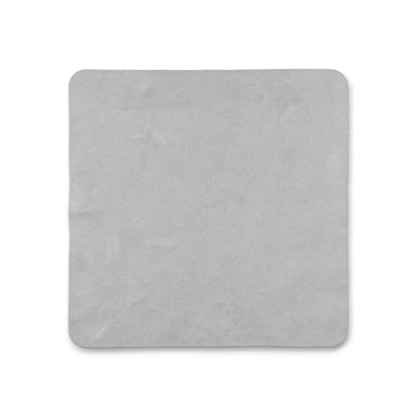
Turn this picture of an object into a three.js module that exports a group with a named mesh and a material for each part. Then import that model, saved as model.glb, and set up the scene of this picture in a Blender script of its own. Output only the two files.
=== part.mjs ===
// A square microfiber polishing cloth with rounded corners, lying flat.
// Two suede plies are bonded back to back by a hot-melt web. Each ply is a knitted ground with a
// raised nap on its outer side, and a sealed rim closes the die-cut edge all the way round.
// Millimetres, +Z up. The origin is the middle of the underside, where the back nap rests.

import * as THREE from "three";

// Driving dimensions
const WIDTH = 160; // cut size along X
const LENGTH = 160; // cut size along Y
const CORNER_RADIUS = 10; // radius of the die-cut corners
const NAP_HEIGHT = 0.3; // raised microfibre nap on each ply
const GROUND_THICKNESS = 0.36; // knitted ground that carries the nap
const WEB_THICKNESS = 0.06; // hot-melt web between the two grounds
const LAYER_CLEARANCE = 0.03; // between neighbouring layers
const RIM_BULGE = 0.2; // how far the rim's outer side rounds out to the cut edge
const RIM_FLAT = 0.25; // width of the pressed band inside the bulge
const RIM_CLEARANCE = 0.05; // between the rim and the layers inside it
const SHOULDER_WIDTH = 0.45; // where the nap thins out towards the rim
const SHOULDER_DROP = 0.05; // how much lower the rim and the nap beside it are than the full nap

// Steps that the round stretches are drawn with
const CORNER_STEPS = 12;
const SHOULDER_STEPS = 4;
const BULGE_STEPS = 6;
const QUARTER_TURN = Math.PI / 2;

// Colours and finishes
const NAP_FINISH = { color: 0xb7b7b5, roughness: 0.95, metalness: 0 };
const GROUND_FINISH = { color: 0xc1c1be, roughness: 0.9, metalness: 0 };
const WEB_FINISH = { color: 0xdcd8cc, roughness: 0.6, metalness: 0 };
const RIM_FINISH = { color: 0xb6b6b4, roughness: 0.7, metalness: 0 };

// Heights of the layers, stacked from the resting face up
const backGroundFloor = NAP_HEIGHT + LAYER_CLEARANCE;
const webFloor = backGroundFloor + GROUND_THICKNESS + LAYER_CLEARANCE;
const faceGroundFloor = webFloor + WEB_THICKNESS + LAYER_CLEARANCE;
const faceGroundTop = faceGroundFloor + GROUND_THICKNESS;
const faceNapFloor = faceGroundTop + LAYER_CLEARANCE;
const wipingHeight = faceNapFloor + NAP_HEIGHT;

// Distances from the cut edge inwards
const rimInset = RIM_BULGE + RIM_FLAT;
const layerInset = rimInset + RIM_CLEARANCE;

// The rounded rectangle of the cut edge, moved inwards by inset, anticlockwise seen from above
function outline(inset) {
  const reach = CORNER_RADIUS - inset;
  const cornerX = WIDTH / 2 - CORNER_RADIUS;
  const cornerY = LENGTH / 2 - CORNER_RADIUS;
  const centres = [
    [cornerX, cornerY],
    [-cornerX, cornerY],
    [-cornerX, -cornerY],
    [cornerX, -cornerY],
  ];
  return centres.flatMap(([centreX, centreY], corner) => {
    const arc = [];
    for (let step = 0; step <= CORNER_STEPS; step++) {
      const angle = (corner + step / CORNER_STEPS) * QUARTER_TURN;
      arc.push(new THREE.Vector2(centreX + reach * Math.cos(angle), centreY + reach * Math.sin(angle)));
    }
    return arc;
  });
}

// A body that follows the outline: each point of the section is an inset from the cut edge and a height.
// A slab's section runs up its side, and its two ends are capped. A ring's section closes on itself.
function followOutline(section, isRing) {
  const rings = section.map(([inset]) => outline(inset));
  const count = rings[0].length;
  const positions = rings.flatMap((ring, level) => {
    const height = section[level][1];
    return ring.flatMap((point) => [point.x, point.y, height]);
  });
  const triangles = [];
  const bands = isRing ? section.length : section.length - 1;
  for (let band = 0; band < bands; band++) {
    const lower = band * count;
    const upper = ((band + 1) % section.length) * count;
    for (let here = 0; here < count; here++) {
      const next = (here + 1) % count;
      triangles.push(lower + here, lower + next, upper + next);
      triangles.push(lower + here, upper + next, upper + here);
    }
  }
  if (!isRing) {
    const top = bands * count;
    for (const [a, b, c] of THREE.ShapeUtils.triangulateShape(rings[0], [])) {
      triangles.push(c, b, a);
    }
    for (const [a, b, c] of THREE.ShapeUtils.triangulateShape(rings[bands], [])) {
      triangles.push(top + a, top + b, top + c);
    }
  }
  const geometry = new THREE.BufferGeometry();
  geometry.setAttribute("position", new THREE.Float32BufferAttribute(positions, 3));
  geometry.setIndex(triangles);
  geometry.computeVertexNormals();
  return geometry;
}

// A flat layer inside the rim
function flatLayer(floor, thickness) {
  const section = [
    [layerInset, floor],
    [layerInset, floor + thickness],
  ];
  return followOutline(section, false);
}

// The section of a nap from its ground outwards: level with the rim beside it, then a rounded shoulder
function napSection() {
  const section = [[layerInset, 0]];
  for (let step = 0; step <= SHOULDER_STEPS; step++) {
    const turn = (step / SHOULDER_STEPS) * QUARTER_TURN;
    const inset = layerInset + SHOULDER_WIDTH * (1 - Math.cos(turn));
    const height = NAP_HEIGHT - SHOULDER_DROP * (1 - Math.sin(turn));
    section.push([inset, height]);
  }
  return section;
}

function faceNap() {
  const section = napSection().map(([inset, height]) => [inset, faceNapFloor + height]);
  return followOutline(section, false);
}

function backNap() {
  const section = napSection().map(([inset, height]) => [inset, NAP_HEIGHT - height]);
  return followOutline(section.reverse(), false);
}

// The rim is almost as high as the cloth, because sealing melts only the nap's tips. Its outer side bulges.
function sealedRim() {
  const rimFloor = SHOULDER_DROP;
  const rimTop = wipingHeight - SHOULDER_DROP;
  const middle = (rimTop + rimFloor) / 2;
  const halfHeight = (rimTop - rimFloor) / 2;
  const section = [];
  for (let step = 0; step <= BULGE_STEPS; step++) {
    const turn = ((2 * step) / BULGE_STEPS - 1) * QUARTER_TURN;
    section.push([RIM_BULGE * (1 - Math.cos(turn)), middle + halfHeight * Math.sin(turn)]);
  }
  section.push([rimInset, rimTop]);
  section.push([rimInset, rimFloor]);
  return followOutline(section, true);
}

function piece(name, geometry, finish) {
  const mesh = new THREE.Mesh(geometry, new THREE.MeshStandardMaterial(finish));
  mesh.name = name;
  return mesh;
}

// The two plies, the web that bonds them and the rim round their edge
const backPly = new THREE.Group();
backPly.add(piece("back_nap", backNap(), NAP_FINISH));
backPly.add(piece("back_ground", flatLayer(backGroundFloor, GROUND_THICKNESS), GROUND_FINISH));

const facePly = new THREE.Group();
facePly.add(piece("face_ground", flatLayer(faceGroundFloor, GROUND_THICKNESS), GROUND_FINISH));
facePly.add(piece("face_nap", faceNap(), NAP_FINISH));

const cloth = new THREE.Group();
cloth.add(backPly);
cloth.add(piece("bonding_web", flatLayer(webFloor, WEB_THICKNESS), WEB_FINISH));
cloth.add(facePly);
cloth.add(piece("sealed_rim", sealedRim(), RIM_FINISH));

export default cloth;
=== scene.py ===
"""Looks of the microfiber cloth: its relaxed layers with their finishes, and the studio."""

import math
from collections import namedtuple

import bpy
import numpy as np
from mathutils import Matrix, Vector


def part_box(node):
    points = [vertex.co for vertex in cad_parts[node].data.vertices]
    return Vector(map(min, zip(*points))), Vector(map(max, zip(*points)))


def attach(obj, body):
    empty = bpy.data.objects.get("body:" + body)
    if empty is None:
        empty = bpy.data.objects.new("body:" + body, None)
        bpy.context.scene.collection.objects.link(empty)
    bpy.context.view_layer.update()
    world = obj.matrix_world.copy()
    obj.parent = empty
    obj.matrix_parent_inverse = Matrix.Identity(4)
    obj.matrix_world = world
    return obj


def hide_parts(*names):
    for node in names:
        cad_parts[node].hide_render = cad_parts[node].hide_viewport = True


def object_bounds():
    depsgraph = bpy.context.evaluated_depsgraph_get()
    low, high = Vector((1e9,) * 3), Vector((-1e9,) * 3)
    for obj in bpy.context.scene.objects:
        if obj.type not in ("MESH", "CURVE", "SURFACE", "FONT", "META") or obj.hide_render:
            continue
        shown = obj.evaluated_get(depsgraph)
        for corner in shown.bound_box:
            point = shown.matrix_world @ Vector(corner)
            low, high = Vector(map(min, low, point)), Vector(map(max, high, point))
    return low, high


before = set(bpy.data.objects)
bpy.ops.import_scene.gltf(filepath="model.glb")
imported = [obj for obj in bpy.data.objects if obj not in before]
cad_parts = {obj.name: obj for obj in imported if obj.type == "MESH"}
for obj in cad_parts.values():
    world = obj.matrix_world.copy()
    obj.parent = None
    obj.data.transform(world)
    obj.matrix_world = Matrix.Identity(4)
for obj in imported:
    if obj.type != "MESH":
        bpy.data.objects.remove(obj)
cad_low, cad_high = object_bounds()

MM = 0.001  # places and sizes on the cloth are written in millimetres

# The cut cloth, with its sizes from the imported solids
RIM_LOW, RIM_HIGH = (np.array(corner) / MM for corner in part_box("sealed_rim"))
_, NAP_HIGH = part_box("face_nap")
HALF_WIDTH = (RIM_HIGH[0] - RIM_LOW[0]) / 2
HALF_LENGTH = (RIM_HIGH[1] - RIM_LOW[1]) / 2
LAYER_INSET = RIM_HIGH[0] - NAP_HIGH.x / MM
CORNER_RADIUS = 10.0

# The rim: two rounded plies with a groove between them, and a band under the naps at its inner side
RIM_WIDTH = 0.45
RIM_BULGE = 0.2
RIM_HALF_HEIGHT = 0.58
RIM_SHOWN = math.radians(68)  # its side is rounded up to this turn, where the nap lies over it
RIM_SIDE_POINTS = 21
BAND_HALF_HEIGHT = 0.4
LUMP_HEIGHT, LUMP_WAVE, LUMP_SEED = 0.02, 2.6, 71  # small swings in and out along it
SEAM_DEPTH = 0.06  # of the groove, where the web bonds the plies
SEAM_SPREAD = 0.07
# painted shade in the groove, darkening the rim's colour there
GROOVE_PAINTED_SHADE = -0.14

# The naps, with rounded shoulders and with tips that lean over the rim
NAP_INSET = 0.12  # where the tips end, inside the cut edge
FRINGE_DEPTH, FRINGE_WAVE = 0.03, 1.1  # how unevenly they end
SHOULDER_WIDTH = 0.5
SHOULDER_DROP = 0.17
BACK_SEED, FACE_SEED = 41, 51

# Mesh steps
CELL = 0.56
HIDDEN_STRIDE = 4  # hidden sides all keep one grid line in this many, so the layers stay parallel
EDGE_LINES = (0.0, 0.03, 0.09, 0.18, 0.3, 0.45, 0.6, 0.9)  # beside a layer's edge, as insets
RIM_STEP = 0.7
SEARCH_STEP = 1.0  # between the places where the sheet's lowest point is looked for

# How the cloth relaxed after it was cut: shorter along Y, where faint ripples take up length
GATHER_Y = 0.9946
LIP_HEIGHT = 0.13  # the cut edge curls up a little
LIP_WIDTH = 0.8
BULGE_DEPTH = 16.0  # how far in from an edge its bulges are felt

# Bulges and hollows of each cut edge: place along the side, spread, and distance outwards
Bulge = namedtuple("Bulge", "place spread outwards")
TOP_BULGES = (
    Bulge(-36, 30, -0.18),
    Bulge(-12, 8, -0.18),
    Bulge(12, 7, -0.2),
    Bulge(60, 26, 0.45),
)
BOTTOM_BULGES = (
    Bulge(-62, 16, 0.4),
    Bulge(-12, 14, -0.06),
    Bulge(28, 18, -0.35),
    Bulge(54, 10, 0.15),
)
LEFT_BULGES = (
    Bulge(48, 7, -0.2),
    Bulge(16, 9, -0.42),
    Bulge(-3, 6, 0.22),
    Bulge(-17, 8, -0.38),
    Bulge(-62, 18, 0.2),
)
RIGHT_BULGES = (
    Bulge(58, 26, 0.2),
    Bulge(11, 7, -0.3),
    Bulge(-14, 15, -0.26),
    Bulge(-66, 16, 0.22),
)

# Corners: which one, as the signs of X and Y, how far it is pulled out along its diagonal,
# how far it lifts, and how far its border then curls down
CornerPull = namedtuple("CornerPull", "sign_x sign_y outwards lift curl")
CORNER_PULLS = (
    CornerPull(-1, 1, 0.36, 0, 0),
    CornerPull(1, 1, -0.32, 0.15, 0),
    CornerPull(-1, -1, 0.34, 0.3, 0.6),
    CornerPull(1, -1, -0.16, 0.1, 0.2),
)
PULL_REACH = 14.0  # how far from the corner its pull and lift are felt
CURL_REACH, CURL_WIDTH = 10.0, 1.4  # and its curl, from the corner and in from the edge

# Creases: from start to end, how far the middle bends to the left of that way, the width of
# the flank on the left and on the right, and the height of the crest
Crease = namedtuple("Crease", "start end bend left right height")
CREST_ROUNDING = 0.25
CREASE_HALF_SHARE = 0.45  # how far from its middle it reaches, as a share of its length
CREASE_FADE_POWER = 4  # how sharply it ends there
CREASES = (
    Crease((-66, 57), (-6, 57), -1.0, 4.0, 7.0, -0.16),
    Crease((-35, 64), (-34.6, 71), 0, 3.0, 1.2, 0.20),
    Crease((-46.5, 39.4), (-36, 41), 0, 1.8, 4.0, 0.17),
    Crease((-33, 44.4), (-22.4, 34.8), 0.5, 1.2, 5.0, 0.09),
    Crease((-85, -2.9), (-59, -1.2), 0, 9.0, 4.0, 0.30),
    Crease((-36.5, -21.3), (-16, -22.2), -0.4, 3.5, 1.2, 0.16),
    Crease((-16, -22.7), (-9, -32), 0.6, 4.0, 1.4, 0.12),
    Crease((-35.5, -50.6), (-46.5, -58.2), -0.4, 1.5, 8.0, 0.22),
    Crease((-46, -57.4), (-23, -60), 0.4, 5.0, 1.2, 0.09),
    Crease((-62, -55), (-83, -67.5), 0.8, 3.0, 7.0, 0.25),
    Crease((-66, -77.6), (-55.4, -64.6), 0.4, 2.0, 7.0, 0.29),
    Crease((-0.5, -55.3), (15.6, -54.8), 0.6, 3.0, 5.5, 0.28),
    Crease((-3, -63.6), (14.4, -64.2), 0, 3.0, 3.0, -0.14),
    Crease((43.7, -60.9), (54.6, -66.7), 0, 1.8, 2.0, 0.20),
    Crease((62, -45.7), (76, -48.6), 0.8, 4.0, 1.6, 0.12),
    Crease((42, 51.7), (52.3, 61), 0.8, 3.5, 1.8, -0.16),
    Crease((-82, 19), (-64, 21.5), 0.5, 3.5, 1.6, 0.10),
    Crease((38, 66), (46, 72), 0.5, 3.0, 1.8, 0.08),
)

# Ripples of the whole sheet, and clumps in its naps: wave length and spread of height
SWELLS = ((75.0, 0.05), (32.0, 0.03), (14.0, 0.014), (7.0, 0.008))
NAP_CLUMPS = ((4.4, 0.008), (2.8, 0.006), (1.9, 0.004))

# The noise that they are made of: how many waves, and their lengths as shares of the one asked for
NOISE_WAVES = 28
WAVE_SHARES = (0.75, 1.35)

# Small crumples, strongest beside the near and the far side: wave length, height and noise seed
CRUMPLES = ((21.0, 0.065, 188), (10.0, 0.032, 356))
CALM_SHARE, FAR_SHARE = 0.25, 0.5  # of the crumples, away from both sides and beside the far side
MEAN_BULGE = 0.8  # mean of the noise without its sign
NEAR_CRUMPLES, FAR_CRUMPLES = (-72.0, 20.0), (74.0, 16.0)  # middle and spread along Y

# The nap's border, darker: partly nap that sealing matted a little, partly painted shade along the
# edge
BORDER_MATTING_AND_SHADE = -0.06
BORDER_WIDTH = 0.55

# Marks in the nap's colour, partly brush marks and partly painted light and shade: middle, spread
# along X and Y, and how much lighter it looks
Mark = namedtuple("Mark", "middle spread tone")
# Broad ones: mostly painted shade towards the near and far sides and painted light at the left and
# right
BROAD_MARKS_AND_PAINTED_SHADE = (
    Mark((-62, 30), (22, 36), 0.034),
    Mark((74, 30), (14, 40), 0.045),
    Mark((40, 20), (20, 40), 0.010),
    Mark((2, 35), (14, 40), -0.015),
    Mark((-6, -84), (80, 22), -0.095),
    Mark((70, -40), (14, 16), 0.015),
    Mark((10, -50), (60, 12), -0.040),
    Mark((18, 74), (45, 14), -0.030),
    Mark((-30, 66), (28, 7), -0.020),
    Mark((-20, 67), (13, 7), -0.015),
    Mark((-80, 10), (4.5, 60), 0.045),
    Mark((0, 78), (70, 4), -0.008),
    Mark((-28, -70), (24, 9), -0.020),
    Mark((-74, -14), (9, 9), 0.035),
    Mark((27, 64), (11, 14), -0.022),
    Mark((56, 41), (10, 9), 0.022),
    Mark((14, -42), (10, 8), -0.024),
    Mark((49, -56), (13, 8), -0.026),
    Mark((-28, 1), (9, 9), 0.018),
)
# Small ones: brush marks, and painted light and shade on the flanks of creases
SMALL_MARKS_AND_PAINTED_SHADE = (
    Mark((-57.6, -67), (1.4, 1.4), 0.09),
    Mark((-60, -70), (1.7, 1.7), 0.1),
    Mark((-62.6, -73.2), (2.1, 2.1), 0.1),
    Mark((-24, 60.4), (24, 4.4), -0.022),
    Mark((-46.4, 63.4), (1.6, 6), -0.035),
    Mark((-34.4, 60.2), (2.6, 3), -0.015),
    Mark((-11.8, 63.4), (2.4, 6.5), -0.02),
    Mark((-75.5, -4.4), (4.5, 1.8), -0.06),
    Mark((-27, -19.6), (9, 2.4), 0.05),
    Mark((-37, 28), (1.8, 5), -0.12),
    Mark((-34.2, 66.4), (0.9, 2.2), -0.05),
    Mark((-33.2, 69), (1, 2.4), -0.05),
    Mark((-39, 69.4), (3.4, 2.6), 0.045),
    Mark((-34, 41), (1.4, 2.6), -0.1),
    Mark((-22.5, 40), (2.6, 5.5), -0.03),
    Mark((-41, 41.4), (4, 1.4), 0.03),
    Mark((-30.4, 42.6), (1.6, 1.5), 0.09),
    Mark((-28, 40.4), (1.6, 1.5), 0.09),
    Mark((-25.6, 38.2), (1.6, 1.6), 0.09),
    Mark((-67, 13.6), (3, 3), -0.06),
    Mark((-64.8, 9), (1.6, 2.6), 0.07),
    Mark((-75.5, 8), (3.4, 8), 0.07),
    Mark((-56.8, -25.4), (1.6, 5.4), 0.105),
    Mark((-52.8, -21), (1.8, 5.6), 0.085),
    Mark((-48.7, -24.5), (1.6, 6.5), -0.045),
    Mark((-68, -30), (2, 3.4), 0.07),
    Mark((-72.8, -32), (3, 4.2), -0.08),
    Mark((-77.5, -66.5), (2.4, 3.6), -0.075),
    Mark((-47.3, -71), (2, 2.4), -0.07),
    Mark((-36, -51.8), (2.2, 1.6), -0.05),
    Mark((-39.2, -54.2), (2.2, 1.6), -0.06),
    Mark((-42.6, -56.4), (2.2, 1.6), -0.05),
    Mark((-40.4, -51.6), (2, 1.2), 0.05),
    Mark((-13, -64), (1.2, 4.6), -0.075),
    Mark((-5, -63.6), (4, 3), 0.055),
    Mark((73.6, 56), (4.5, 5.5), 0.05),
    Mark((73.6, 23.4), (5, 11), 0.06),
    Mark((75, 69.5), (3.4, 5), 0.05),
    Mark((30.2, 64.1), (1, 1.4), -0.12),
    Mark((32.5, 62.8), (0.9, 3.2), 0.1),
    Mark((44.5, 68.1), (2, 2.4), -0.06),
    Mark((5.8, 24), (2.8, 4.2), -0.05),
    Mark((19.3, 3.3), (1.5, 3.4), -0.08),
    Mark((33, -76), (1.3, 4.5), -0.075),
    Mark((78.4, -71), (1.4, 2), -0.1),
    Mark((75.6, -74.2), (2, 2.2), 0.06),
    Mark((67.4, -51.6), (5, 4.4), 0.05),
    Mark((-66, 3.6), (2.6, 1.8), -0.06),
    Mark((18, 67), (5, 9), -0.035),
    Mark((27.5, -70), (7, 6), -0.035),
    Mark((68.6, -68.6), (6, 6), -0.03),
    Mark((47.6, 57.3), (2, 1.4), 0.075),
    Mark((44.6, 54), (1.2, 2), 0.085),
    Mark((41.6, 50), (1.2, 2.4), 0.08),
    Mark((42.8, 56.6), (1.4, 2), -0.06),
    Mark((40.4, 52), (1.2, 3), -0.07),
    Mark((37.8, 54), (1.4, 4.5), 0.045),
    Mark((49.5, 61.8), (4.5, 1.4), -0.06),
    Mark((-76.5, 76.5), (2.6, 2.6), 0.055),
)

# Colours, as linear light: the nap's grey drifts between a warm and a cool one
NAP_WARM = (0.4785, 0.473, 0.459)
NAP_COOL = (0.4695, 0.473, 0.4655)
GROUND_COLOUR = (0.53, 0.53, 0.51)
WEB_COLOUR = (0.72, 0.69, 0.60)
RIM_COLOUR = (0.468, 0.467, 0.456)

# Noise in the finishes: size of its largest features in metres, detail and roughness
Noise = namedtuple("Noise", "size detail roughness")
MOTTLE = Noise(17 * MM, 3.0, 0.85)
FLECKS = Noise(1.7 * MM, 1.5, 0.7)
FIBRES = Noise(0.55 * MM, 2.0, 0.6)
DRIFT = Noise(9 * MM, 2.0, 0.6)
MELTED_LUMPS = Noise(1.1 * MM, 3.0, 0.6)
MELTED_FIBRES = Noise(0.2 * MM, 2.0, 0.6)

# How the finishes are laid on: shifts in metres, and how many times finer along X, Y and Z
NO_SHIFT = (0, 0, 0)
BACK_SHIFT = (0.7, 0.3, 0.5)  # so that the two naps aren't alike
EVEN = (1.0, 1.0, 1.0)
BRUSHED = (1.0, 2.6, 1.0)  # fibres that lie along X
MELTED = (1.0, 1.0, 0.4)  # fibres that run up the rim's side
WALES_SPAN, LOOPS_SPAN = 2.1 * MM, 1.4 * MM  # of about three wales or loops of the knit
WEB_CELL = 1.6 * MM

# The photograph's framing: its side in pixels, and what the cloth's width and middle are in it
PHOTO_SIDE_PX = 416
CLOTH_WIDTH_PX = 279.5
CLOTH_MIDDLE_PX = (208.0, 207.67)
LENS_MM = 100.0
SENSOR_MM = 36.0

# Studio light, in metres and watts
AMBIENT = 0.465
BOX_WATTS = 1150.0
BOX_DISTANCE = 12.0
BOX_PLACES = ((-8, 22.8), (50.5, 25.6))  # degrees from straight behind to the left, and degrees up
BOX_SIZE = (12.8, 4.4)
FLOOR_SIZE = 12.0
FLOOR_GAP = 0.02 * MM
FLOOR_BOUNCE = 0.86  # how white the floor is for the light that it throws back
FLOOR_SHOWN = 1.015  # and as it is seen


def bell(distance, spread):
    """One at no distance, falling softly to zero well past the spread."""
    return np.exp(-((distance / spread) ** 2))


def edge_bulge(bulges, place):
    """How far outwards an edge lies at each place along its side."""
    total = np.zeros_like(place)
    for bulge in bulges:
        total += bulge.outwards * bell(place - bulge.place, bulge.spread)
    return total


def soft_noise(x, y, wave_length, seed):
    """Smooth noise of unit spread: waves of about one length in random directions."""
    draw = np.random.RandomState(seed)
    total = np.zeros_like(x)
    for _ in range(NOISE_WAVES):
        angle = draw.uniform(0, 2 * math.pi)
        phase = draw.uniform(0, 2 * math.pi)
        rate = 2 * math.pi / (wave_length * draw.uniform(*WAVE_SHARES))
        total += np.cos(rate * (x * math.cos(angle) + y * math.sin(angle)) + phase)
    return total / math.sqrt(NOISE_WAVES / 2)


def edge_distance(x, y, inset):
    """Distance in from the edge of the rounded square that lies inset inside the cut."""
    radius = CORNER_RADIUS - inset
    out_x = np.abs(x) - (HALF_WIDTH - inset - radius)
    out_y = np.abs(y) - (HALF_LENGTH - inset - radius)
    outside = np.hypot(np.maximum(out_x, 0), np.maximum(out_y, 0))
    inside = np.minimum(np.maximum(out_x, out_y), 0)
    return radius - outside - inside


def corner_share(pull, x, y, reach):
    """How much of a corner's pull, lift or curl is felt at each point, from one to zero."""
    from_corner = np.hypot(x - pull.sign_x * HALF_WIDTH, y - pull.sign_y * HALF_LENGTH)
    return bell(from_corner, reach)


def crease_height(crease, x, y):
    """A ridge or valley with a tight crest that fades out at its two ends."""
    way = np.subtract(crease.end, crease.start)
    length = math.hypot(*way)
    along = ((x - crease.start[0]) * way[0] + (y - crease.start[1]) * way[1]) / length**2
    across = ((y - crease.start[1]) * way[0] - (x - crease.start[0]) * way[1]) / length
    # The crest follows a parabola that is one in the middle and zero at both ends
    across = across - crease.bend * 4 * along * (1 - along)
    width = np.where(across > 0, crease.left, crease.right)
    from_crest = np.hypot(across, CREST_ROUNDING) - CREST_ROUNDING
    fade = np.exp(-(((along - 0.5) / CREASE_HALF_SHARE) ** CREASE_FADE_POWER))
    return crease.height * np.exp(-from_crest / width) * fade


def crumple_height(x, y):
    """Tight little valleys between soft bulges, where noise crosses zero."""
    near, far = (bell(y - middle, spread) for middle, spread in (NEAR_CRUMPLES, FAR_CRUMPLES))
    share = CALM_SHARE + (1 - CALM_SHARE) * np.maximum(near, FAR_SHARE * far)
    height = np.zeros_like(x)
    for wave_length, rise, seed in CRUMPLES:
        height += rise * (np.abs(soft_noise(x, y, wave_length, seed)) - MEAN_BULGE)
    return height * share


def relief(x, y):
    """Height of the relaxed sheet over the flat one, before it is set down."""
    height = np.zeros_like(x)
    for seed, (wave_length, spread) in enumerate(SWELLS):
        height += spread * soft_noise(x, y, wave_length, seed)
    for crease in CREASES:
        height += crease_height(crease, x, y)
    inwards = np.maximum(edge_distance(x, y, 0), 0)
    for pull in CORNER_PULLS:
        height += pull.lift * corner_share(pull, x, y, PULL_REACH)
        height -= pull.curl * corner_share(pull, x, y, CURL_REACH) * np.exp(-inwards / CURL_WIDTH)
    height += crumple_height(x, y)
    height += LIP_HEIGHT * np.exp(-inwards / LIP_WIDTH)
    return height


def lowest_relief():
    """The height of the sheet's lowest point, which is set down on the floor."""
    steps = np.arange(-HALF_WIDTH, HALF_WIDTH + SEARCH_STEP, SEARCH_STEP)
    x, y = np.meshgrid(steps, steps)
    return relief(x, y).min()


LOWEST = lowest_relief()


def relaxed(points):
    """Points of the flat cut, in millimetres, where they lie in the relaxed cloth."""
    x, y, z = points.T
    to_right = edge_bulge(RIGHT_BULGES, y) * bell(HALF_WIDTH - x, BULGE_DEPTH)
    to_left = edge_bulge(LEFT_BULGES, y) * bell(HALF_WIDTH + x, BULGE_DEPTH)
    to_top = edge_bulge(TOP_BULGES, x) * bell(HALF_LENGTH - y, BULGE_DEPTH)
    to_bottom = edge_bulge(BOTTOM_BULGES, x) * bell(HALF_LENGTH + y, BULGE_DEPTH)
    moved_x = x + to_right - to_left
    moved_y = y + to_top - to_bottom
    for pull in CORNER_PULLS:
        shift = pull.outwards * corner_share(pull, x, y, PULL_REACH) / math.sqrt(2)
        moved_x += pull.sign_x * shift
        moved_y += pull.sign_y * shift
    return np.stack((moved_x, moved_y * GATHER_Y, z + relief(x, y) - LOWEST), axis=1)


def nap_marks_and_painted_shade(points):
    """How much lighter the nap looks at each point: brush marks with painted light and shade, and its
    border, matted and with painted shade.
    """
    x, y = points[:, 0], points[:, 1]
    # Painted shade along the border, with its matting
    tone = BORDER_MATTING_AND_SHADE * bell(edge_distance(x, y, NAP_INSET), BORDER_WIDTH)
    # Brush marks, and painted light and shade on crease flanks and slopes
    for mark in BROAD_MARKS_AND_PAINTED_SHADE + SMALL_MARKS_AND_PAINTED_SHADE:
        away_x = (x - mark.middle[0]) / mark.spread[0]
        away_y = (y - mark.middle[1]) / mark.spread[1]
        tone += mark.tone * np.exp(-(away_x**2 + away_y**2))
    return tone


def grid_lines(half):
    """Places of the grid lines across a layer: close together beside its edges, then a cell apart."""
    insets = np.array(EDGE_LINES)
    inner = half - insets[-1]
    middle = np.linspace(-inner, inner, 2 * math.ceil(HALF_WIDTH / CELL) + 1)
    return np.concatenate((insets[:-1] - half, middle, (half - insets[:-1])[::-1]))


def layer_grid(inset):
    """A flat grid of points inside the rounded square, rows along Y and columns along X."""
    half_width, half_length = HALF_WIDTH - inset, HALF_LENGTH - inset
    radius = CORNER_RADIUS - inset
    x, y = np.meshgrid(grid_lines(half_width), grid_lines(half_length))
    u = np.maximum(np.abs(x) - (half_width - radius), 0) / radius
    v = np.maximum(np.abs(y) - (half_length - radius), 0) / radius
    pulled_u = u * np.sqrt(1 - v * v / 2)
    pulled_v = v * np.sqrt(1 - u * u / 2)
    x = np.sign(x) * (np.minimum(np.abs(x), half_width - radius) + pulled_u * radius)
    y = np.sign(y) * (np.minimum(np.abs(y), half_length - radius) + pulled_v * radius)
    return x, y


def grid_numbers(shape):
    """The numbers of a grid's points, row by row."""
    return np.arange(shape[0] * shape[1]).reshape(shape)


def fine_faces(shape):
    """One face for each cell of a grid of points, facing up."""
    index = grid_numbers(shape)
    corners = (index[:-1, :-1], index[:-1, 1:], index[1:, 1:], index[1:, :-1])
    return np.stack([corner.ravel() for corner in corners], axis=1).tolist()


def coarse_faces(shape):
    """Faces over several cells each way of a grid, facing up, with its border's points all kept."""
    index = grid_numbers(shape)
    last_row, last_column = shape[0] - 1, shape[1] - 1
    row_stops = [*range(0, last_row, HIDDEN_STRIDE), last_row]
    column_stops = [*range(0, last_column, HIDDEN_STRIDE), last_column]
    faces = []
    for south, north in zip(row_stops, row_stops[1:]):
        for west, east in zip(column_stops, column_stops[1:]):
            sides = (
                (index[south, west:east + 1], south == 0),
                (index[south:north + 1, east], east == last_column),
                (index[north, west:east + 1][::-1], north == last_row),
                (index[south:north + 1, west][::-1], west == 0),
            )
            face = []
            for points, on_border in sides:
                face += points[:-1].tolist() if on_border else points[:1].tolist()
            faces.append(face)
    return faces


def renumbered(faces, first):
    """The grid points that some faces use, and their numbers in a mesh where they start at first."""
    kept = np.unique(np.concatenate(faces))
    number = np.zeros(kept.max() + 1, int)
    number[kept] = first + np.arange(kept.size)
    return kept, number


def turned_over(face):
    """The same face seen from behind, from the same first point, so it splits into triangles alike."""
    return face[:1] + face[:0:-1]


def slab(outer, inner, outer_faces, inner_faces):
    """Points and faces of a closed slab: its outer side, its inner side and the wall between them."""
    index = grid_numbers(outer.shape[:2])
    outer_kept, outer_number = renumbered(outer_faces, 0)
    inner_kept, inner_number = renumbered(inner_faces, outer_kept.size)
    border = np.concatenate((index[0, :-1], index[:-1, -1], index[-1, :0:-1], index[:0:-1, 0]))
    after = np.roll(border, -1)
    wall = (inner_number[border], inner_number[after], outer_number[after], outer_number[border])
    faces = [outer_number[face].tolist() for face in outer_faces]
    faces += [inner_number[turned_over(face)].tolist() for face in inner_faces]
    faces += np.stack(wall, axis=1).tolist()
    if outer[..., 2].mean() < inner[..., 2].mean():
        faces = [turned_over(face) for face in faces]
    points = np.concatenate((outer.reshape(-1, 3)[outer_kept], inner.reshape(-1, 3)[inner_kept]))
    return points, faces


def new_piece(name, points, faces, tone, material, node):
    """A mesh piece in the cloth's frame that stands for its CAD node."""
    mesh = bpy.data.meshes.new(name)
    mesh.from_pydata((relaxed(points) * MM).tolist(), [], faces)
    # The tone attribute carries brush marks and painted light and shade into the colour
    attribute = mesh.attributes.new("tone", "FLOAT", "POINT")
    attribute.data.foreach_set("value", tone.astype(np.float32))
    mesh.shade_smooth()
    mesh.materials.append(material)
    mesh.validate()
    piece = bpy.data.objects.new(name, mesh)
    bpy.context.scene.collection.objects.link(piece)
    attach(piece, "root")
    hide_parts(node)
    return piece


def flat_layer(name, material, node):
    """A thin layer inside the rim, between the heights of its CAD solid."""
    low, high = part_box(node)
    x, y = layer_grid(LAYER_INSET)
    upper = np.stack((x, y, np.full_like(x, high.z / MM)), axis=-1)
    lower = np.stack((x, y, np.full_like(x, low.z / MM)), axis=-1)
    hidden = coarse_faces(x.shape)
    points, faces = slab(upper, lower, hidden, hidden)
    return new_piece(name, points, faces, np.zeros(len(points)), material, node)


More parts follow.
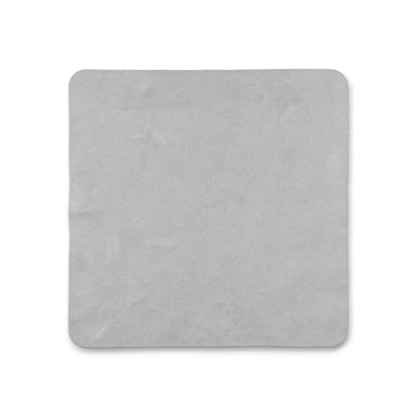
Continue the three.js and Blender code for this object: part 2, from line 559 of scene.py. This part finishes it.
def nap_layer(name, material, node, faces_up, seed):
    """The raised nap: flat against its ground, with a shoulder and faint clumps on its outer side."""
    low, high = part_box(node)
    x, y = layer_grid(NAP_INSET)
    inwards = np.clip(edge_distance(x, y, NAP_INSET) / SHOULDER_WIDTH, 0, 1)
    rise = (high.z - low.z) / MM - SHOULDER_DROP * (1 - np.sqrt(1 - (1 - inwards) ** 2))
    for step, (wave_length, spread) in enumerate(NAP_CLUMPS):
        rise += inwards * spread * soft_noise(x, y, wave_length, seed + step)
    uneven = (1 - inwards) * FRINGE_DEPTH * soft_noise(x, y, FRINGE_WAVE, seed)
    fringe = 1 - uneven / HALF_WIDTH
    ground_x, ground_y = layer_grid(LAYER_INSET)
    ground_z = low.z / MM if faces_up else high.z / MM
    outer_z = ground_z + rise if faces_up else ground_z - rise
    outer = np.stack((x * fringe, y * fringe, outer_z), axis=-1)
    inner = np.stack((ground_x, ground_y, np.full_like(x, ground_z)), axis=-1)
    points, faces = slab(outer, inner, fine_faces(x.shape), coarse_faces(x.shape))
    return new_piece(name, points, faces, nap_marks_and_painted_shade(points), material, node)


def rim_stations():
    """Points round the cut edge with their outward directions, anticlockwise from the right side."""
    straight_x, straight_y = HALF_WIDTH - CORNER_RADIUS, HALF_LENGTH - CORNER_RADIUS
    arc_steps = math.ceil(CORNER_RADIUS * math.pi / 2 / RIM_STEP)
    places, ways = [], []
    corners = ((1, 1), (-1, 1), (-1, -1), (1, -1))
    for turn, (sign_x, sign_y) in enumerate(corners):
        angles = (turn + np.linspace(0, 1, arc_steps + 1)) * math.pi / 2
        way = np.stack((np.cos(angles), np.sin(angles)), axis=1)
        arc = np.array((sign_x * straight_x, sign_y * straight_y)) + CORNER_RADIUS * way
        next_x, next_y = corners[(turn + 1) % len(corners)]
        side_end = np.array((next_x * straight_x, next_y * straight_y)) + CORNER_RADIUS * way[-1]
        side_steps = math.ceil(math.dist(arc[-1], side_end) / RIM_STEP)
        share = np.linspace(0, 1, side_steps + 1)[1:-1, None]
        places += [arc, arc[-1] + (side_end - arc[-1]) * share]
        ways += [way, np.repeat(way[-1:], side_steps - 1, axis=0)]
    return np.concatenate(places), np.concatenate(ways)


def rim_section():
    """The rim's section, as insets from the cut edge and heights from its middle."""
    turns = np.linspace(-RIM_SHOWN, RIM_SHOWN, RIM_SIDE_POINTS)
    heights = RIM_HALF_HEIGHT * np.sin(turns)
    seam = SEAM_DEPTH * bell(heights, SEAM_SPREAD)
    side = np.column_stack((RIM_BULGE * (1 - np.cos(turns)) + seam, heights))
    band = np.array(((RIM_WIDTH, BAND_HALF_HEIGHT), (RIM_WIDTH, -BAND_HALF_HEIGHT)))
    return np.concatenate((side, band))


def sealed_rim(material):
    """The fused rim round the cut edge, a little lumpy where fibres melted together."""
    places, ways = rim_stations()
    x, y = places.T
    middle = (RIM_LOW[2] + RIM_HIGH[2]) / 2
    lumps = LUMP_HEIGHT * np.clip(soft_noise(x, y, LUMP_WAVE, LUMP_SEED), -1, 1)
    section = rim_section()
    points, groove_shades, bands = [], [], []
    count, levels = len(places), len(section)
    here = np.arange(count)
    after = np.roll(here, -1)
    for level, (inset, height) in enumerate(section):
        lower, upper = level * count, (level + 1) % levels * count
        bands.append(np.stack((lower + here, lower + after, upper + after, upper + here), axis=1))
        ring = places - ways * (inset + lumps)[:, None]
        points.append(np.column_stack((ring, np.full(count, middle + height))))
        # Painted shade in the groove, carried by the tone attribute
        groove_shades.append(np.full(count, GROOVE_PAINTED_SHADE * bell(height, SEAM_SPREAD)))
    return new_piece("sealed_rim_fused", np.concatenate(points), np.concatenate(bands).tolist(),
                     np.concatenate(groove_shades), material, "sealed_rim")


class Nodes:
    """A material's node tree, with short ways to add nodes and link them."""

    def __init__(self, name):
        self.material = bpy.data.materials.new(name)
        self.material.use_nodes = True
        self.tree = self.material.node_tree
        self.shader = self.tree.nodes["Principled BSDF"]

    def add(self, kind, inputs=None, **settings):
        """A new node, with its settings and with values or links for its inputs."""
        node = self.tree.nodes.new(kind)
        for key, value in settings.items():
            setattr(node, key, value)
        for key, value in (inputs or {}).items():
            self.put(node.inputs[key], value)
        return node

    def put(self, socket, value):
        """Links an input to another node's output, or sets it to a plain value."""
        if isinstance(value, bpy.types.NodeSocket):
            self.tree.links.new(value, socket)
        else:
            socket.default_value = value

    def math(self, operation, first, second):
        """The result of a sum, product or other operation on two values."""
        node = self.add("ShaderNodeMath", {0: first, 1: second}, operation=operation)
        return node.outputs[0]

    def total(self, first, *others):
        """The sum of several values."""
        for other in others:
            first = self.math("ADD", first, other)
        return first

    def around(self, value, swing):
        """A value from 0 to 1 turned into one that swings about zero."""
        return self.math("MULTIPLY", self.math("SUBTRACT", value, 0.5), swing)

    def place(self, shift, finer=EVEN):
        """Places on the piece, shifted, and scaled so that a pattern there gets finer."""
        coordinates = self.add("ShaderNodeTexCoord").outputs["Object"]
        inputs = {"Vector": coordinates, "Location": shift, "Scale": finer}
        return self.add("ShaderNodeMapping", inputs).outputs["Vector"]

    def noise(self, place, kind):
        """Noise of one kind, from 0 to 1."""
        inputs = {
            "Vector": place,
            "Scale": 1 / kind.size,
            "Detail": kind.detail,
            "Roughness": kind.roughness,
        }
        return self.add("ShaderNodeTexNoise", inputs).outputs["Fac"]

    def waves(self, place, span, distortion, direction):
        """Bands that follow each other in one direction, about three to a span, from 0 to 1."""
        inputs = {"Vector": place, "Scale": 1 / span, "Distortion": distortion, "Detail": 1.0}
        return self.add("ShaderNodeTexWave", inputs, bands_direction=direction).outputs["Fac"]

    def mix(self, first, second, share):
        """A colour between two others, by a share from 0 to 1."""
        node = self.add("ShaderNodeMix", {"Factor": share}, data_type="VECTOR")
        for socket in node.inputs:
            if socket.type == "VECTOR" and socket.name in ("A", "B"):
                self.put(socket, first if socket.name == "A" else second)
        return next(socket for socket in node.outputs if socket.type == "VECTOR")

    def tone(self):
        """How much lighter or darker the piece's points are marked, with brush marks and painted light
        and shade.
        """
        return self.add("ShaderNodeAttribute", attribute_name="tone").outputs["Fac"]

    def shade(self, colour, brightness):
        """Gives the surface a colour made lighter or darker from place to place."""
        node = self.add("ShaderNodeVectorMath", {0: colour, "Scale": brightness}, operation="SCALE")
        self.put(self.shader.inputs["Base Color"], node.outputs["Vector"])

    def roughen(self, value, swing, middle):
        """Gives the surface a roughness that swings about its middle."""
        self.put(self.shader.inputs["Roughness"], self.total(self.around(value, swing), middle))

    def bump(self, height, strength, distance):
        """Gives the surface a relief too fine for its mesh."""
        inputs = {"Height": height, "Strength": strength, "Distance": distance}
        self.put(self.shader.inputs["Normal"], self.add("ShaderNodeBump", inputs).outputs["Normal"])

    def finish(self, **values):
        """The material, once the shader has these values all over."""
        for key, value in values.items():
            socket = key.replace("_", " ").title().replace("Ior", "IOR")
            self.shader.inputs[socket].default_value = value
        return self.material


def suede_material(name, shift):
    """Brushed suede: a mottled grey nap with brush marks, painted light and shade of its creases and
    slopes, short fibres and a soft sheen.
    """
    nodes = Nodes(name)
    place = nodes.place(shift)
    mottle = nodes.noise(place, MOTTLE)
    flecks = nodes.noise(place, FLECKS)
    fibres = nodes.noise(nodes.place(shift, BRUSHED), FIBRES)
    brightness = nodes.total(
        nodes.around(mottle, swing=0.23),
        nodes.around(flecks, swing=0.28),
        nodes.around(fibres, swing=0.22),
        # brush marks and painted light and shade, from the tone attribute
        nodes.tone(),
        1.0,
    )
    nodes.shade(nodes.mix(NAP_WARM, NAP_COOL, nodes.noise(place, DRIFT)), brightness)
    nodes.bump(fibres, strength=0.35, distance=0.12 * MM)
    nodes.roughen(flecks, swing=-0.2, middle=0.9)
    return nodes.finish(specular_ior_level=0.15, sheen_weight=0.12, sheen_roughness=0.5)


def knit_material():
    """Fine warp knit: wales along Y with small loops in each."""
    nodes = Nodes("warp_knit")
    place = nodes.place(NO_SHIFT)
    wales = nodes.waves(place, WALES_SPAN, distortion=0.4, direction="X")
    loops = nodes.waves(place, LOOPS_SPAN, distortion=0.8, direction="Y")
    yarn = nodes.math("MULTIPLY", wales, loops)
    nodes.shade(GROUND_COLOUR, nodes.total(nodes.around(yarn, swing=0.25), 1.0))
    nodes.bump(yarn, strength=0.5, distance=0.08 * MM)
    nodes.roughen(yarn, swing=-0.1, middle=0.9)
    return nodes.finish(specular_ior_level=0.2, sheen_weight=0.1, sheen_roughness=0.5)


def web_material():
    """Hot-melt web: a pale film of fused strands with thinner cells between them."""
    nodes = Nodes("hot_melt_web")
    inputs = {"Vector": nodes.place(NO_SHIFT), "Scale": 1 / WEB_CELL}
    cells = nodes.add("ShaderNodeTexVoronoi", inputs, feature="DISTANCE_TO_EDGE")
    strands = cells.outputs["Distance"]
    nodes.shade(WEB_COLOUR, nodes.total(nodes.around(strands, swing=-0.4), 0.95))
    nodes.bump(strands, strength=0.4, distance=0.04 * MM)
    nodes.roughen(strands, swing=0.3, middle=0.6)
    return nodes.finish(specular_ior_level=0.4)


def fused_material():
    """Fused fibre: a shade darker and smoother than the nap, with small melted lumps and painted shade
    in its groove.
    """
    nodes = Nodes("fused_fibre")
    lumps = nodes.noise(nodes.place(NO_SHIFT), MELTED_LUMPS)
    fibres = nodes.noise(nodes.place(NO_SHIFT, MELTED), MELTED_FIBRES)
    brightness = nodes.total(
        nodes.around(lumps, swing=0.16),
        nodes.around(fibres, swing=0.25),
        # painted shade in the groove, from the tone attribute
        nodes.tone(),
        1.0,
    )
    nodes.shade(RIM_COLOUR, brightness)
    nodes.bump(fibres, strength=0.6, distance=0.1 * MM)
    nodes.roughen(lumps, swing=0.3, middle=0.8)
    return nodes.finish(specular_ior_level=0.2, sheen_weight=0.08, sheen_roughness=0.5)


def make_cloth():
    """All the layers and the rim, each standing for its solid."""
    knit = knit_material()
    back_suede = suede_material("suede_back", BACK_SHIFT)
    face_suede = suede_material("suede_face", NO_SHIFT)
    back_nap = nap_layer("back_nap_suede", back_suede, "back_nap",
                         faces_up=False, seed=BACK_SEED)
    back_ground = flat_layer("back_ground_knit", knit, "back_ground")
    web = flat_layer("bonding_web_film", web_material(), "bonding_web")
    face_ground = flat_layer("face_ground_knit", knit, "face_ground")
    face_nap = nap_layer("face_nap_suede", face_suede, "face_nap",
                         faces_up=True, seed=FACE_SEED)
    rim = sealed_rim(fused_material())


def make_camera():
    """The photograph's view: straight down, with the cloth where it lies in the frame."""
    per_px = 2 * HALF_WIDTH * MM / CLOTH_WIDTH_PX
    middle_px = (PHOTO_SIDE_PX - 1) / 2
    data = bpy.data.cameras.new("camera")
    data.lens = LENS_MM
    data.sensor_width = SENSOR_MM
    camera = bpy.data.objects.new("camera", data)
    camera.location = (
        (middle_px - CLOTH_MIDDLE_PX[0]) * per_px,
        (CLOTH_MIDDLE_PX[1] - middle_px) * per_px,
        cad_high.z + PHOTO_SIDE_PX * per_px * LENS_MM / SENSOR_MM,
    )
    bpy.context.scene.collection.objects.link(camera)
    bpy.context.scene.camera = camera


def seen_directly(tree):
    """One for rays that show a surface, straight, mirrored or through glass, and zero for others."""
    path = tree.nodes.new("ShaderNodeLightPath")
    total = path.outputs["Is Camera Ray"]
    for ray in ("Is Glossy Ray", "Is Transmission Ray"):
        either = tree.nodes.new("ShaderNodeMath")
        either.operation = "MAXIMUM"
        tree.links.new(total, either.inputs[0])
        tree.links.new(path.outputs[ray], either.inputs[1])
        total = either.outputs[0]
    return total


def make_floor():
    """A plain white floor that keeps the cloth's shadow."""
    half = FLOOR_SIZE / 2
    signs = ((-1, -1), (1, -1), (1, 1), (-1, 1))
    corners = [(sign_x * half, sign_y * half, -FLOOR_GAP) for sign_x, sign_y in signs]
    mesh = bpy.data.meshes.new("floor")
    mesh.from_pydata(corners, [], [(0, 1, 2, 3)])
    material = bpy.data.materials.new("white_floor")
    material.use_nodes = True
    tree = material.node_tree
    tree.nodes.clear()
    output = tree.nodes.new("ShaderNodeOutputMaterial")
    diffuse = tree.nodes.new("ShaderNodeBsdfDiffuse")
    tone = tree.nodes.new("ShaderNodeMapRange")
    tone.inputs["To Min"].default_value = FLOOR_BOUNCE
    tone.inputs["To Max"].default_value = FLOOR_SHOWN
    tree.links.new(seen_directly(tree), tone.inputs["Value"])
    tree.links.new(tone.outputs["Result"], diffuse.inputs["Color"])
    tree.links.new(diffuse.outputs["BSDF"], output.inputs["Surface"])
    mesh.materials.append(material)
    floor = bpy.data.objects.new("floor", mesh)
    bpy.context.scene.collection.objects.link(floor)


def make_world():
    """Even light from all round, and plain white where the camera sees past the floor."""
    world = bpy.data.worlds.new("studio")
    world.use_nodes = True
    tree = world.node_tree
    background = tree.nodes["Background"]
    background.inputs["Color"].default_value = (1, 1, 1, 1)
    strength = tree.nodes.new("ShaderNodeMapRange")
    strength.inputs["To Min"].default_value = AMBIENT
    strength.inputs["To Max"].default_value = 1.0
    tree.links.new(seen_directly(tree), strength.inputs["Value"])
    tree.links.new(strength.outputs["Result"], background.inputs["Strength"])
    bpy.context.scene.world = world


def make_soft_boxes():
    """Wide soft boxes behind the cloth and to its left."""
    for place in BOX_PLACES:
        turn, elevation = (math.radians(angle) for angle in place)
        data = bpy.data.lights.new("soft_box", "AREA")
        data.shape = "RECTANGLE"
        data.size, data.size_y = BOX_SIZE
        data.energy = BOX_WATTS
        box = bpy.data.objects.new("soft_box", data)
        level = math.cos(elevation)
        way = Vector((-math.sin(turn) * level, math.cos(turn) * level, math.sin(elevation)))
        box.location = way * BOX_DISTANCE
        box.rotation_euler = way.to_track_quat("Z", "Y").to_euler()
        box.visible_camera = False
        bpy.context.scene.collection.objects.link(box)


make_camera()
make_cloth()
make_floor()
make_world()
make_soft_boxes()
bpy.context.scene.view_settings.view_transform = "Standard"
